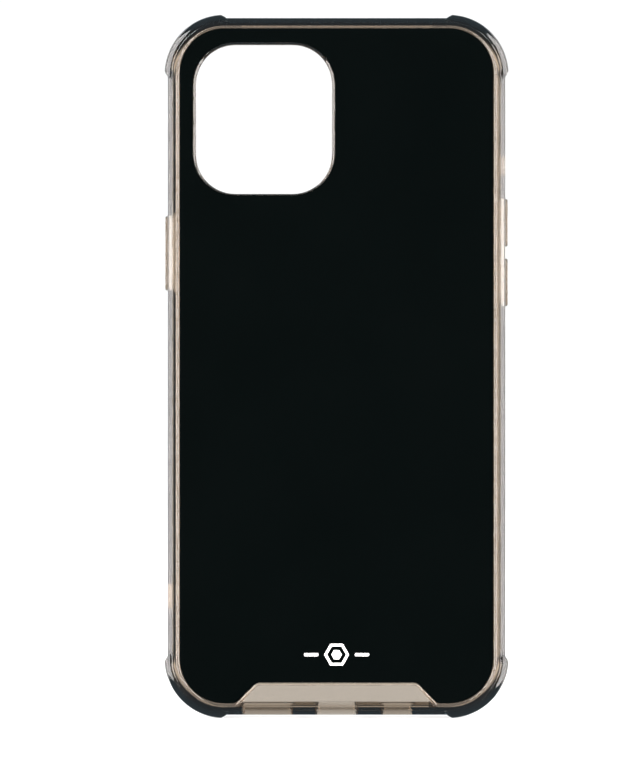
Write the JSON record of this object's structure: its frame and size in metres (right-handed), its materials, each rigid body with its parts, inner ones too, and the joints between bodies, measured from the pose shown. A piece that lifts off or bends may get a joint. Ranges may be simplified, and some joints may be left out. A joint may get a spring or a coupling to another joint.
{
  "type": "phone case",
  "caption": "Protective case for a large flat-sided phone: gloss black back, clear smoke frame with raised corner bumpers, camera window and press-through side buttons.",
  "frame": {"origin": "middle of the width and depth, level with the lowest point of the two bottom corner bumpers", "axes": "+Z towards the phone's top edge, -Y out of the case's outer back panel, +Y out of the pocket's open front, +X to the right when the back panel is looked at"},
  "size_m": [0.0828, 0.011, 0.1691],
  "materials": {
    "gloss_black_panel": "hard gloss panel, printed black on its inner face",
    "bonding_film": "thin dark double-sided film",
    "emblem_print": "white pad print",
    "smoke_frame": "glossy translucent smoke-grey elastomer",
    "smoke_floor": "translucent smoke-grey elastomer with a fine anti-cling grain",
    "smoke_button": "glossy translucent smoke-grey elastomer"
  },
  "bodies": {
    "case": {"back_panel": "gloss_black_panel", "bonding_film": "bonding_film", "inner_floor": "smoke_floor", "badge": "emblem_print", "panel_lip": "smoke_frame", "notch_window": "smoke_floor", "camera_lining": "smoke_frame", "left_wall": "smoke_frame", "right_wall": "smoke_frame", "top_wall": "smoke_frame", "bottom_wall": "smoke_frame", "corner_top_left": "smoke_frame", "corner_top_right": "smoke_frame", "corner_bottom_left": "smoke_frame", "corner_bottom_right": "smoke_frame", "power_button_web": "smoke_frame", "volume_button_web": "smoke_frame"},
    "power_key": {"power_button": "smoke_button"},
    "volume_up_key": {"volume_up_button": "smoke_button"},
    "volume_down_key": {"volume_down_button": "smoke_button"}
  },
  "joints": [
    {"name": "power_press", "type": "slide", "parent": "case", "child": "power_key", "axis": [1, 0, 0], "range_m": [0, 0.00045], "stiffness_N_per_m": 3000},
    {"name": "volume_up_press", "type": "slide", "parent": "case", "child": "volume_up_key", "axis": [-1, 0, 0], "range_m": [0, 0.00045], "stiffness_N_per_m": 3000},
    {"name": "volume_down_press", "type": "slide", "parent": "case", "child": "volume_down_key", "axis": [-1, 0, 0], "range_m": [0, 0.00045], "stiffness_N_per_m": 3000}
  ]
}
